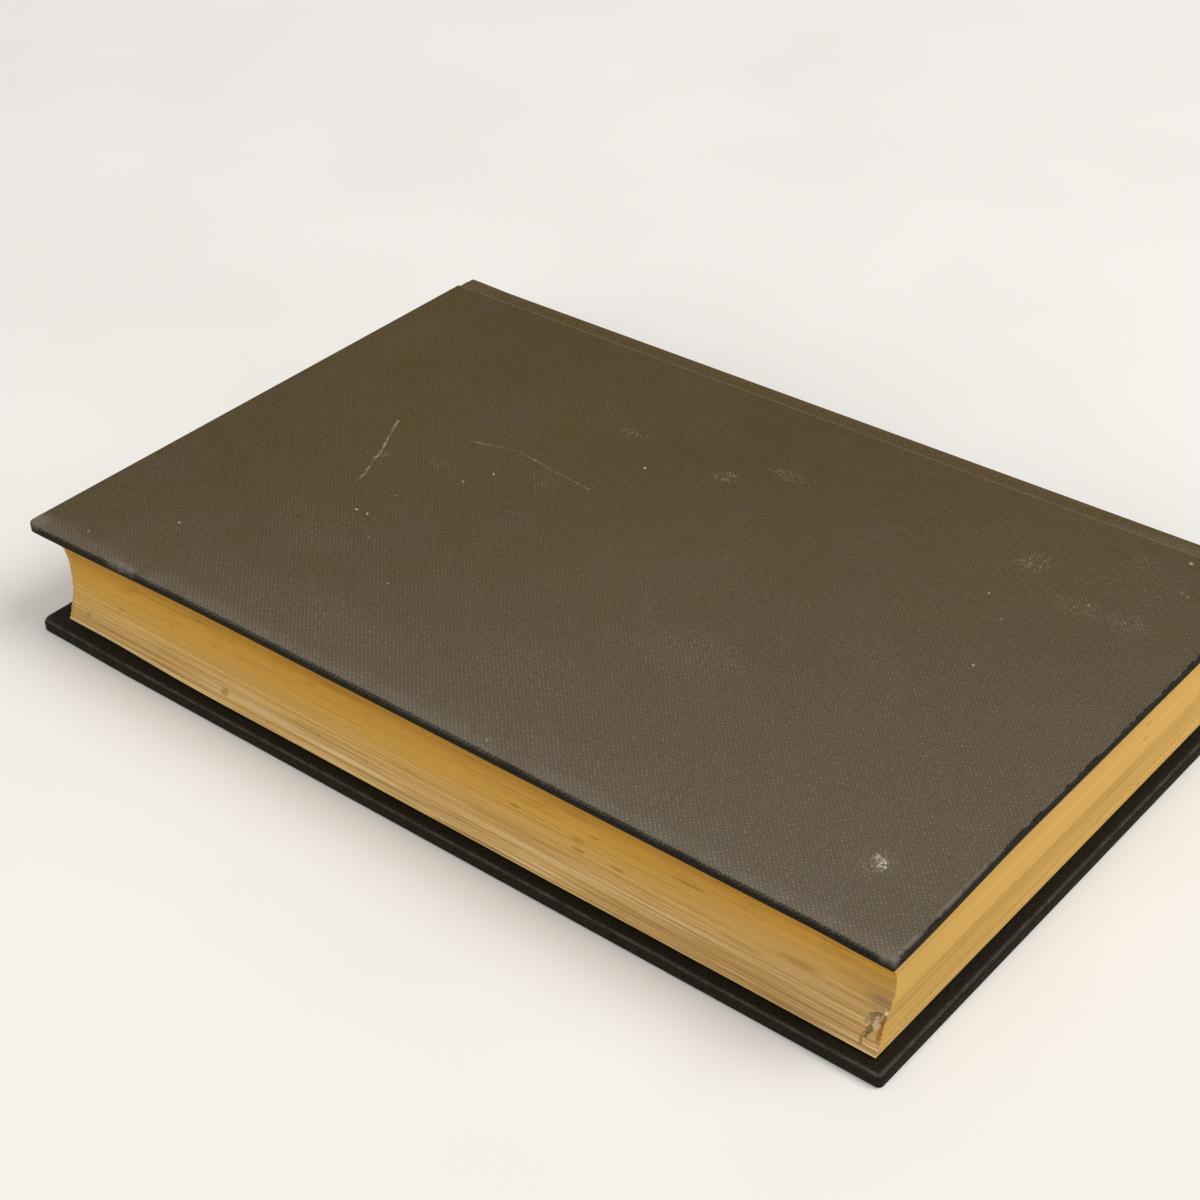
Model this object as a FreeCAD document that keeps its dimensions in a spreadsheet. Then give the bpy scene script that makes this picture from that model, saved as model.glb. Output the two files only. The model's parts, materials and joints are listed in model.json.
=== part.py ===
import FreeCAD, Part
import Sketcher
import os
import re

# A hardback book lying shut on its back cover.
# +Z is up, +X points to the fore-edge, -X is the spine and +Y is the head.
# The origin is on the table, under the middle of the book.
# Sizes are in millimetres.

SIZES = {
    # covers
    "cover_long": 240.0,  # along the spine
    "cover_wide": 148.0,  # from the joint to the fore-edge
    "cover_thick": 3.0,  # board, cloth and pasted endpaper
    "cloth_thick": 0.35,
    "corner_round": 2.2,  # of a cover, seen from above
    "arris_round": 0.9,  # of a cover's outer edges
    "turn_in": 15.0,  # cloth folded round onto the inner face
    "paste_thick": 0.2,  # the endpaper pasted to the inner face
    "paste_margin": 3.5,  # cloth left bare round it
    "paste_start": 1.0,  # from the fold to the pasted endpaper
    # joints: the back one is wider, so the front cover sits nearer the spine
    "front_joint": 5.4,  # from the fold to the board's edge
    "back_joint": 9.0,
    "front_slip": 1.0,  # front cover's shift towards the tail
    "fold_drop": 1.5,  # the fold below a cover's outer face
    "fold_gap": 0.6,  # from the fold to the cover's own cloth
    "groove_dip": 0.8,
    "running_gap": 0.3,
    # pages
    "end_square": 3.4,  # the back cover past the head and tail
    "block_thick": 22.2,  # with both flyleaves
    "block_gap": 0.3,  # from the pages to each cover
    "fore_square": 3.6,  # the back cover past the fore-edge
    "fore_hollow": 6.5,  # how deep the fore-edge curves in
    "leaf_thick": 0.15,
    # spine
    "spine_round": 6.5,  # how far the spine bulges past the folds
    "inlay_thick": 0.8,
    "inlay_set": 2.0,  # the inlay stops short of the folds
    "hollow_gap": 0.5,  # between the case and the lined pages
    "lining_thick": 0.3,
    "lining_set": 0.8,
    "mull_thick": 0.3,
    "band_round": 0.85,  # half the thickness of a headband
}

doc = FreeCAD.newDocument("Hardback")
sheet = doc.addObject("Spreadsheet::Sheet", "Sizes")
for row, (alias, value) in enumerate(SIZES.items(), start=1):
    sheet.set("A%d" % row, alias)
    sheet.set("B%d" % row, "%g" % value)
    sheet.setAlias("B%d" % row, alias)
doc.recompute()

# Lengths that follow from the sizes, as formulas on the sheet.
TALL = "(2 * cover_thick + 2 * block_gap + block_thick)"
MIDDLE = f"({TALL} / 2)"
FOLD_X = "((spine_round - cover_wide - back_joint) / 2)"
BACK_X = f"({FOLD_X} + back_joint)"
FRONT_X = f"({FOLD_X} + front_joint)"
# The spine is an arc between the two folds; its layers share one centre.
HALF_SPINE = f"({MIDDLE} - fold_drop - running_gap)"
SPINE_R = f"(({HALF_SPINE} ^ 2 + spine_round ^ 2) / (2 * spine_round))"
SPINE_X = f"({FOLD_X} - spine_round + {SPINE_R})"
INLAY_R = f"({SPINE_R} - cloth_thick)"
TUCK_R = f"({INLAY_R} - inlay_thick)"
LINING_R = f"({TUCK_R} - cloth_thick - hollow_gap)"
MULL_R = f"({LINING_R} - lining_thick)"
BLOCK_R = f"({MULL_R} - mull_thick)"
# The pages reach from the lined spine to the fore-edge.
BLOCK_LONG = "(cover_long - 2 * end_square)"
PAGES_LOW = "(cover_thick + block_gap + leaf_thick)"
PAGES_HIGH = "(block_thick - 2 * leaf_thick)"
BLOCK_FORE = f"({BACK_X} + cover_wide - fore_square)"
BLOCK_BACK = f"({SPINE_X} - sqrt({BLOCK_R} ^ 2 - ({PAGES_HIGH} / 2) ^ 2))"
INNER = "(cover_thick - paste_thick)"  # a cover without its endpaper
BOARD_IN = f"({INNER} - cloth_thick)"  # the board's inner face


def sized(text):
    """The formula with each size read from the sheet."""
    return re.sub(r"[a-z]+_[a-z]+", r"Sizes.\g<0>", text)


def bind(obj, **formulas):
    """Ties properties to formulas; px, py and pz are the placement."""
    for name, text in formulas.items():
        if name in ("px", "py", "pz"):
            name = "Placement.Base." + name[1]
        obj.setExpression(name, sized(text))
    return obj


def box(name, x0, x1, wide, z0, z1):
    """A box from x0 to x1 and z0 to z1, centred across Y."""
    obj = doc.addObject("Part::Box", name)
    bind(obj, Length=f"({x1}) - ({x0})", Width=wide, Height=f"({z1}) - ({z0})")
    return bind(obj, px=x0, py=f"-({wide}) / 2", pz=z0)


def join(kind, name, one, other):
    """Cut, Fuse or Common of two shapes."""
    obj = doc.addObject("Part::" + kind, name)
    obj.Base = one
    obj.Tool = other
    return obj


def tube(name, outer, thick, long, px, pz):
    """A tube along Y, centred across Y."""
    rods = []
    for part, radius, extra in (("Out", outer, 0), ("In", f"{outer} - {thick}", 1)):
        rod = doc.addObject("Part::Cylinder", name + part)
        rod.Placement = FreeCAD.Placement(
            FreeCAD.Vector(0, 0, 0), FreeCAD.Rotation(FreeCAD.Vector(1, 0, 0), -90)
        )
        bind(rod, Radius=radius, Height=f"{long} + {2 * extra}")
        bind(rod, px=px, py=f"-({long}) / 2 - {extra}", pz=pz)
        rods.append(rod)
    return join("Cut", name + "Tube", *rods)


def spine_sheet(name, outer, thick, long, half_high, x1=SPINE_X):
    """A curved sheet round the spine, up to x1 and half_high above and below the middle."""
    whole = tube(name, outer, thick, long, SPINE_X, MIDDLE)
    keep = box(
        name + "Keep",
        f"{SPINE_X} - 2 * {SPINE_R}",
        x1,
        f"{long} + 2",
        f"{MIDDLE} - {half_high}",
        f"{MIDDLE} + {half_high}",
    )
    return join("Common", name, whole, keep)


def plane_of(body, role):
    """One of a body's own origin planes."""
    return [f for f in body.Origin.OriginFeatures if f.Role == role][0]


def new_sketch(body, role, name):
    """A sketch on one of a body's own origin planes."""
    sketch = body.newObject("Sketcher::SketchObject", name)
    sketch.AttachmentSupport = [(plane_of(body, role), "")]
    sketch.MapMode = "FlatFace"
    return sketch


def limit(sketch, name, formula, kind, *args):
    """A dimension of a sketch, tied to a formula."""
    index = sketch.addConstraint(Sketcher.Constraint(kind, *args))
    sketch.renameConstraint(index, name)
    sketch.setExpression("Constraints." + name, sized(formula))


def slab(name, x0, x1, wide, z0, z1, corner, arris):
    """A rounded slab: two fore corners and the edges of its outer face at z0."""
    body = doc.addObject("PartDesign::Body", name)
    sketch = new_sketch(body, "XY_Plane", name + "Outline")
    corners = [(1, -100), (140, -100), (140, 100), (1, 100)]
    for i in range(4):
        a = FreeCAD.Vector(*corners[i], 0)
        b = FreeCAD.Vector(*corners[(i + 1) % 4], 0)
        sketch.addGeometry(Part.LineSegment(a, b))
    for i in range(4):
        sketch.addConstraint(Sketcher.Constraint("Coincident", i, 2, (i + 1) % 4, 1))
        sketch.addConstraint(Sketcher.Constraint(("Horizontal", "Vertical")[i % 2], i))
    limit(sketch, "start", x0, "DistanceX", -1, 1, 0, 1, 1.0)
    limit(sketch, "length", f"({x1}) - ({x0})", "DistanceX", 0, 1, 0, 2, 139.0)
    limit(sketch, "half", f"({wide}) / 2", "DistanceY", 0, 1, -1, 1, 100.0)
    limit(sketch, "whole", wide, "DistanceY", 1, 1, 1, 2, 200.0)
    doc.recompute()
    bind(sketch, **{"AttachmentOffset.Base.z": z0})
    pad = body.newObject("PartDesign::Pad", name + "Pad")
    pad.Profile = sketch
    bind(pad, Length=f"({z1}) - ({z0})")
    doc.recompute()
    far = pad.Shape.BoundBox.XMax
    upright = [
        f"Edge{i}"
        for i, edge in enumerate(pad.Shape.Edges, 1)
        if edge.BoundBox.ZLength > 0.5 and abs(edge.CenterOfMass.x - far) < 0.01
    ]
    rounded = body.newObject("PartDesign::Fillet", name + "Corners")
    rounded.Base = (pad, upright)
    bind(rounded, Radius=corner)
    doc.recompute()
    low = rounded.Shape.BoundBox.ZMin
    rim = [
        f"Edge{i}"
        for i, edge in enumerate(rounded.Shape.Edges, 1)
        if edge.BoundBox.ZMax < low + 0.01
    ]
    soft = body.newObject("PartDesign::Fillet", name + "Arris")
    soft.Base = (rounded, rim)
    bind(soft, Radius=arris)
    body.Tip = soft
    doc.recompute()
    return body


def make_cover(side, joint):
    """One cover, drawn as the back one: outer face at z 0, board's edge at x 0.

    The board is wrapped in cloth, which is folded round three edges onto the
    inner face and runs on across the joint as a shallow groove.
    """
    core = (
        "cloth_thick",
        "cover_wide - cloth_thick",
        "(cover_long - 2 * cloth_thick)",
        "cloth_thick",
        BOARD_IN,
        "corner_round - cloth_thick",
        "arris_round - cloth_thick",
    )
    board = slab(side + "_board", *core)
    # What the cloth wraps has the board's own sizes and stays where it is drawn.
    skin = slab(
        side + "Skin", "0", "cover_wide", "cover_long", "0", INNER, "corner_round", "arris_round"
    )
    wrap = join("Cut", side + "Wrap", skin, slab(side + "Core", *core))
    window = box(
        side + "Window",
        "cloth_thick",
        "cover_wide - turn_in",
        "(cover_long - 2 * turn_in)",
        BOARD_IN,
        "cover_thick + 1",
    )
    wrap = join("Cut", side + "WrapOpen", wrap, window)
    # The cloth leaves the board's edge at the groove, so the edge is bare below it.
    bare = box(
        side + "BareEdge",
        "-1",
        "cloth_thick",
        "(cover_long - 2 * turn_in)",
        "fold_drop + cloth_thick",
        "cover_thick + 1",
    )
    wrap = join("Cut", side + "WrapEdge", wrap, bare)
    # The groove is an arc from the fold to just inside the cloth on the board's edge.
    start = f"(fold_gap - {joint})"
    end = "(cloth_thick / 2)"
    radius = f"((({end} - {start}) ^ 2 / 4 + groove_dip ^ 2) / (2 * groove_dip))"
    ring = tube(
        side + "Groove",
        f"({radius} + cloth_thick)",
        "cloth_thick",
        "cover_long",
        f"({start} + {end}) / 2",
        f"(fold_drop + groove_dip - {radius})",
    )
    reach = box(
        side + "GrooveReach",
        start,
        end,
        "cover_long + 2",
        "fold_drop - cloth_thick",
        "fold_drop + groove_dip + 1",
    )
    strip = join("Common", side + "GrooveStrip", ring, reach)
    cloth = join("Fuse", side + "_cover_cloth", wrap, strip)
    # The pasted endpaper sinks to the board inside the cloth's folded edges.
    sheet_out = box(
        side + "PasteSheet",
        f"paste_start - {joint}",
        "cover_wide - paste_margin",
        "(cover_long - 2 * paste_margin)",
        INNER,
        "cover_thick",
    )
    sunk = box(
        side + "PasteSunk",
        "cloth_thick",
        "cover_wide - turn_in",
        "(cover_long - 2 * turn_in)",
        BOARD_IN,
        INNER,
    )
    dip = box(
        side + "PasteDip",
        "cloth_thick + paste_thick",
        "cover_wide - turn_in - paste_thick",
        "(cover_long - 2 * turn_in - 2 * paste_thick)",
        f"{BOARD_IN} + paste_thick",
        "cover_thick + 1",
    )
    paste = join("Fuse", side + "PasteWhole", sheet_out, sunk)
    paste = join("Cut", side + "_pastedown", paste, dip)
    return board, cloth, paste


def make_block():
    """The sewn pages: round at the spine, hollow at the fore-edge."""
    body = doc.addObject("PartDesign::Body", "text_block")
    sketch = new_sketch(body, "XZ_Plane", "BlockSection")
    v = FreeCAD.Vector
    low, high, back, fore = 3.45, 25.35, -73.0, 77.9
    middle = (low + high) / 2
    sketch.addGeometry(Part.LineSegment(v(back, low, 0), v(fore, low, 0)))
    sketch.addGeometry(Part.Arc(v(fore, low, 0), v(fore - 6.5, middle, 0), v(fore, high, 0)))
    sketch.addGeometry(Part.LineSegment(v(fore, high, 0), v(back, high, 0)))
    sketch.addGeometry(Part.Arc(v(back, high, 0), v(back - 6.3, middle, 0), v(back, low, 0)))
    ends = {
        0: (1, 2),
        2: (1, 2),
        1: arc_ends(sketch, 1, fore, low),
        3: arc_ends(sketch, 3, back, high),
    }
    for i in range(4):
        k = (i + 1) % 4
        sketch.addConstraint(Sketcher.Constraint("Coincident", i, ends[i][1], k, ends[k][0]))
    sketch.addConstraint(Sketcher.Constraint("Horizontal", 0))
    sketch.addConstraint(Sketcher.Constraint("Horizontal", 2))
    limit(sketch, "low", PAGES_LOW, "DistanceY", -1, 1, 0, 1, low)
    limit(sketch, "high", PAGES_HIGH, "DistanceY", 0, 2, 2, 1, high - low)
    limit(sketch, "fore", BLOCK_FORE, "DistanceX", -1, 1, 0, 2, fore)
    limit(sketch, "foreTop", BLOCK_FORE, "DistanceX", -1, 1, 2, 1, fore)
    limit(sketch, "back", f"-{BLOCK_BACK}", "DistanceX", 0, 1, -1, 1, -back)
    limit(sketch, "backTop", f"-{BLOCK_BACK}", "DistanceX", 2, 2, -1, 1, -back)
    hollow = f"({PAGES_HIGH} ^ 2 / 4 + fore_hollow ^ 2) / (2 * fore_hollow)"
    limit(sketch, "hollow", hollow, "Radius", 1, 12.5)
    limit(sketch, "rounding", BLOCK_R, "Radius", 3, 12.9)
    doc.recompute()
    pad = body.newObject("PartDesign::Pad", "Block")
    pad.Profile = sketch
    pad.Midplane = True
    bind(pad, Length=BLOCK_LONG)
    body.Tip = pad
    doc.recompute()
    return body


def arc_ends(sketch, index, x, y):
    """Which end of an arc lies at x, y: (that end, the other end)."""
    first = sketch.getPoint(index, 1)
    near = abs(first.x - x) + abs(first.y - y) < 0.01
    return (1, 2) if near else (2, 1)


def make_spine():
    """The spine of the case and the linings glued to the pages."""
    inlay_half = f"({HALF_SPINE} - inlay_set)"
    inlay_long = "(cover_long - 2 * cloth_thick)"
    inlay = spine_sheet("spine_inlay", INLAY_R, "inlay_thick", inlay_long, inlay_half)
    # The spine cloth covers the inlay and is folded over its two ends.
    outer = spine_sheet("SpineOuter", SPINE_R, "cloth_thick", "cover_long", SPINE_R, FOLD_X)
    thick = "(inlay_thick + 2 * cloth_thick)"
    folded = spine_sheet("SpineFolded", SPINE_R, thick, "cover_long", inlay_half)
    window = tube(
        "SpineWindow",
        TUCK_R,
        "cloth_thick",
        "(cover_long - 2 * turn_in)",
        SPINE_X,
        MIDDLE,
    )
    folded = join("Cut", "SpineHollow", folded, window)
    folded = join("Cut", "SpineTurned", folded, inlay)
    cloth = join("Fuse", "spine_cloth", outer, folded)
    lining_half = "(block_thick / 2 - lining_set)"
    lining = spine_sheet(
        "spine_lining", LINING_R, "lining_thick", f"({BLOCK_LONG} - 2)", lining_half
    )
    mull_long = f"({BLOCK_LONG} - 12)"
    mull = spine_sheet("spine_mull", MULL_R, "mull_thick", mull_long, lining_half)
    return inlay, cloth, lining, mull


def make_band(name, end):
    """A headband: a cord along the back edge of one end of the pages."""
    ring = doc.addObject("Part::Torus", name + "Ring")
    ring.Placement = FreeCAD.Placement(
        FreeCAD.Vector(0, 0, 0), FreeCAD.Rotation(FreeCAD.Vector(1, 0, 0), -90)
    )
    bind(ring, Radius1=f"{BLOCK_R} - band_round", Radius2="band_round")
    bind(ring, px=SPINE_X, py=f"{end} * ({BLOCK_LONG} / 2 + band_round)", pz=MIDDLE)
    half = "(block_thick / 2 - lining_set)"
    keep = box(
        name + "Keep",
        f"{SPINE_X} - 2 * {SPINE_R}",
        SPINE_X,
        "cover_long",
        f"{MIDDLE} - {half}",
        f"{MIDDLE} + {half}",
    )
    return join("Common", name, ring, keep)


def flyleaf(name, low):
    """The loose half of an endpaper, lying on the pages."""
    return box(name, BLOCK_BACK, BLOCK_FORE, BLOCK_LONG, low, f"{low} + leaf_thick")


pieces = {"text_block": make_block()}
pieces["back_flyleaf"] = flyleaf("back_flyleaf", "(cover_thick + block_gap)")
pieces["front_flyleaf"] = flyleaf(
    "front_flyleaf", "(cover_thick + block_gap + block_thick - leaf_thick)"
)
names = ("spine_inlay", "spine_cloth", "spine_lining", "spine_mull")
pieces.update(zip(names, make_spine()))
pieces["headband"] = make_band("headband", 1)
pieces["tailband"] = make_band("tailband", -1)
for side, joint in (("back", "back_joint"), ("front", "front_joint")):
    names = (side + "_board", side + "_cover_cloth", side + "_pastedown")
    pieces.update(zip(names, make_cover(side, joint)))

# The front cover is the same cover turned over, above the pages.
over = FreeCAD.Rotation(FreeCAD.Vector(1, 0, 0), 180)
flat = FreeCAD.Rotation()
doc.recompute()
for name, obj in pieces.items():
    if name.startswith(("front_", "back_")) and "flyleaf" not in name:
        front = name.startswith("front_")
        obj.Placement = FreeCAD.Placement(FreeCAD.Vector(0, 0, 0), over if front else flat)
        if front:
            bind(obj, px=FRONT_X, py="-front_slip", pz=TALL)
        else:
            bind(obj, px=BACK_X)
    obj.Label = name
doc.recompute()

for obj in doc.Objects:
    if "Invalid" in obj.State or "Error" in obj.State:
        raise RuntimeError("%s: %s" % (obj.Name, obj.State))
os.makedirs("parts", exist_ok=True)
for name, obj in pieces.items():
    shape = obj.Shape
    if shape.isNull() or not shape.isValid():
        raise RuntimeError("%s has no valid shape" % name)
    print("%-18s %7.2f cm3, %d solid" % (name, shape.Volume / 1000, len(shape.Solids)))
for name, obj in pieces.items():
    obj.Shape.exportStep("parts/%s.step" % name)
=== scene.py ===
# %% [markdown]
# # A worn hardback book
# The solids of the book come from its construction model. Here they get their looks: the
# covering cloth becomes one sheet again across the joints, the pages get their leaves, and
# every piece gets a finish.

# %% Load the book's solids
import functools
import json
import math
import bmesh
import bpy
import numpy as np
from mathutils import Matrix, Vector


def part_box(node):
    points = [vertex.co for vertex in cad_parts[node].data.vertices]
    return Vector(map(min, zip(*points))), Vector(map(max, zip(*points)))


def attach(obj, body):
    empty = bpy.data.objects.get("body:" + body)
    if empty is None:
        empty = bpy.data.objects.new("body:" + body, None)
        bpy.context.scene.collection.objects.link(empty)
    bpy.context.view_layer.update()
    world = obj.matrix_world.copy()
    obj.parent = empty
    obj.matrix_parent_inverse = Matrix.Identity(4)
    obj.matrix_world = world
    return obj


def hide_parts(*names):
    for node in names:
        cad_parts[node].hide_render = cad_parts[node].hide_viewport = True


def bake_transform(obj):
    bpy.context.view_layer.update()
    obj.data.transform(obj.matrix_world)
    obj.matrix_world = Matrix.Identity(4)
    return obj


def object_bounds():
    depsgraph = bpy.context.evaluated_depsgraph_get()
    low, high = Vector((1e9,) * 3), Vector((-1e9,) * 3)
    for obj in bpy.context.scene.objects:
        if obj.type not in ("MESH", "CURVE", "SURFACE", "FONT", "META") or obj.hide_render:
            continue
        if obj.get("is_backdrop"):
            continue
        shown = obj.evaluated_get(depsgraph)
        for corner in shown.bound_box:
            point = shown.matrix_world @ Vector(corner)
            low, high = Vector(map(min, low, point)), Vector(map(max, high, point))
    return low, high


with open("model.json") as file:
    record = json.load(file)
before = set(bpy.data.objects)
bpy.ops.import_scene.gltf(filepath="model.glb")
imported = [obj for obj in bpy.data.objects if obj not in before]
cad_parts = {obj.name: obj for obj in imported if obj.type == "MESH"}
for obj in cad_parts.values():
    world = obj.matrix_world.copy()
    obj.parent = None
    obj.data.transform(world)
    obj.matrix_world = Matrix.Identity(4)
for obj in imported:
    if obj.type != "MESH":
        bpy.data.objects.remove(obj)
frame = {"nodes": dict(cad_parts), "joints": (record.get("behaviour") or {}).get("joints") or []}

MM = 0.001
cad_low, cad_high = (list(v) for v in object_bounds())

# %% [markdown]
# ## The sizes the looks share
# Everything is worked out in millimetres from the solids' own boxes and from the two hinge
# lines, so the looks sit exactly where the solids are. A cover is drawn lying as the back one
# does, outer face down at height 0 and board's edge at 0, and then put in its place.

# %% Sizes read from the solids
def box_mm(node):
    """Lowest and highest corner of a solid, in millimetres."""
    return [np.array(corner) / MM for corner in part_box(node)]


fold = {j["name"]: np.array(j["pos_m"]) / MM for j in frame["joints"]}
TALL = cad_high[2] / MM
CLOTH = 0.35
TAIL_SLANT = 3.0
pages_low, pages_high = box_mm("text_block")
covers = {}
for side in ("front", "back"):
    low, high = box_mm(side + "_board")
    covers[side] = {
        "edge": low[0] - CLOTH,
        "wide": high[0] - low[0] + 2 * CLOTH,
        "half": (high[1] - low[1]) / 2 + CLOTH,
        "shift": (high[1] + low[1]) / 2,
        "joint": low[0] - CLOTH - fold[side + "_hinge"][0],
    }
SPINE_ROUND = fold["back_hinge"][0] - cad_low[0] / MM
print("thickness %.1f mm, joints %.1f and %.1f mm" % (
    TALL, covers["front"]["joint"], covers["back"]["joint"]))


def place(side, points):
    """From a cover's own drawing to the book: the front cover is turned over about X."""
    cover = covers[side]
    x, y, z = points[..., 0], points[..., 1], points[..., 2]
    if side == "back":
        return np.stack([x + cover["edge"], y + cover["shift"], z], -1)
    return np.stack([x + cover["edge"], -y + cover["shift"], TALL - z], -1)


# %% [markdown]
# ## Camera
# The photograph looks down at the corner between the fore-edge and the head. The place, the
# direction and the focal length below were found by fitting the covers' long edges.

# %% Camera
PICTURE = 1200.0
FOCAL_PX = 2301.5
azimuth, elevation, roll = (math.radians(v) for v in (130.929, 34.780, -2.220))
back = np.array([math.sin(azimuth) * math.cos(elevation),
                 -math.cos(azimuth) * math.cos(elevation), math.sin(elevation)])
level = np.array([math.cos(azimuth), math.sin(azimuth), 0.0])
upright = np.cross(back, level)
right = math.cos(roll) * level + math.sin(roll) * upright
up = np.cross(back, right)
camera_data = bpy.data.cameras.new("Camera")
camera = bpy.data.objects.new("Camera", camera_data)
bpy.context.collection.objects.link(camera)
camera_data.sensor_width = 36.0
camera_data.lens = 36.0 * FOCAL_PX / PICTURE
camera_data.clip_start, camera_data.clip_end = 0.01, 20.0
matrix = np.eye(4)
matrix[:3, 0], matrix[:3, 1], matrix[:3, 2] = right, up, back
matrix[:3, 3] = (0.33515, 0.27661, 0.31528)
camera.matrix_world = Matrix(matrix.tolist())
bpy.context.scene.camera = camera
print("lens %.1f mm" % camera_data.lens)

# %% [markdown]
# ## Shader maths as plain expressions
# A material is a network of nodes. Wrapping a socket in a small class lets the networks be
# written as sums, and each sum adds its Math node.

# %% A socket that can be used in sums
class Signal:
    """One value, vector or colour that runs through a material."""

    def __init__(self, net, socket):
        self.net, self.socket = net, socket

    def math(self, operation, *others):
        inputs = dict(enumerate((self, *others)))
        return self.net.make("ShaderNodeMath", inputs, operation=operation)

    def __add__(self, other):
        return self.math("ADD", other)

    __radd__ = __add__

    def __sub__(self, other):
        return self.math("SUBTRACT", other)

    def __rsub__(self, other):
        return self.net.make("ShaderNodeMath", {0: other, 1: self}, operation="SUBTRACT")

    def __mul__(self, other):
        return self.math("MULTIPLY", other)

    __rmul__ = __mul__

    def __truediv__(self, other):
        return self.math("DIVIDE", other)

    def __pow__(self, other):
        return self.math("POWER", other)

    def __abs__(self):
        return self.math("ABSOLUTE")

    def sin(self):
        return self.math("SINE")

    def least(self, other):
        return self.math("MINIMUM", other)

    def most(self, other):
        return self.math("MAXIMUM", other)

    def step(self, start, end):
        """0 before start, 1 past end, smooth between them; end may be the lower one."""
        return self.net.make(
            "ShaderNodeMapRange",
            {"Value": self, "From Min": start, "From Max": end},
            interpolation_type="SMOOTHSTEP",
        )


class Net:
    """The node network of one material, with its surface shader."""

    def __init__(self, name, **constants):
        self.material = bpy.data.materials.new(name)
        self.material.use_nodes = True
        self.tree = self.material.node_tree
        self.surface = self.tree.nodes["Principled BSDF"]
        for socket, value in constants.items():
            self.surface.inputs[socket.replace("_", " ")].default_value = value

    def make(self, kind, inputs=None, out=0, **settings):
        """A node of one kind: its settings first, then its sockets' values or links."""
        node = self.tree.nodes.new(kind)
        for key, value in settings.items():
            setattr(node, key, value)
        for key, value in (inputs or {}).items():
            self.join(value, node.inputs[key])
        return Signal(self, node.outputs[out])

    def join(self, value, socket):
        if isinstance(value, Signal):
            self.tree.links.new(value.socket, socket)
        else:
            socket.default_value = value

    def colour(self, factor, one, two, blend="MIX"):
        """One colour turned into another by a factor."""
        pair = [(*c, 1.0) if isinstance(c, tuple) else c for c in (one, two)]
        return self.make(
            "ShaderNodeMix", {0: factor, 6: pair[0], 7: pair[1]}, 2,
            data_type="RGBA", blend_type=blend, clamp_factor=True,
        )

    def gain(self, colour, factor):
        """A colour times a number."""
        return self.make("ShaderNodeVectorMath", {0: colour, "Scale": factor}, operation="SCALE")

    def split(self, vector):
        """A vector's three numbers."""
        node = self.tree.nodes.new("ShaderNodeSeparateXYZ")
        self.join(vector, node.inputs[0])
        return [Signal(self, s) for s in node.outputs]

    def vector(self, x, y, z=0.0):
        return self.make("ShaderNodeCombineXYZ", {0: x, 1: y, 2: z})

    def place(self):
        """The point on the object, in millimetres."""
        coordinates = self.make("ShaderNodeTexCoord", out=3)
        return self.make(
            "ShaderNodeVectorMath", {0: coordinates, "Scale": 1 / MM}, operation="SCALE"
        )

    def flat(self, span):
        """The point on the cut sheet, in millimetres, from the sheet's own map."""
        node = self.make("ShaderNodeUVMap", uv_map="Sheet")
        u, v, _ = self.split(node)
        return u * span, v * span

    def mask(self, name):
        """A number stored on the mesh."""
        return self.make("ShaderNodeAttribute", out=2, attribute_name=name)

    def noise(self, vector, scale=1.0, detail=3.0, rough=0.5, lift=(0.3, 0.7)):
        """Noise stretched to fill 0 to 1; scale is in bumps per millimetre."""
        raw = self.make("ShaderNodeTexNoise", {
            "Vector": vector, "Scale": scale, "Detail": detail, "Roughness": rough})
        return raw.step(*lift)

    def cells(self, vector, scale):
        """The distance to the nearest of many scattered points, and that point's own number."""
        inputs = {"Vector": vector, "Scale": scale}
        away, colour = (self.make("ShaderNodeTexVoronoi", inputs, out) for out in (0, 1))
        return away, self.split(colour)[0]

    def finish(self, colour, rough, height=None, depth=0.1, strength=1.0):
        """Joins colour, roughness and a relief of a depth in millimetres to the shader."""
        self.join(colour, self.surface.inputs["Base Color"])
        self.join(rough, self.surface.inputs["Roughness"])
        if height is not None:
            bump = self.make("ShaderNodeBump", {
                "Height": height, "Distance": depth * MM, "Strength": strength})
            self.join(bump, self.surface.inputs["Normal"])
        return self.material


def strongest(masks):
    """The largest of several values at each point."""
    return functools.reduce(Signal.most, masks)


# %% [markdown]
# ## Surfaces from whole arrays
# A surface is a table of points: its rows and columns follow two parameters. The mesh gets a
# face for each cell of the table, its map from a second table, and masks for its material.

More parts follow.
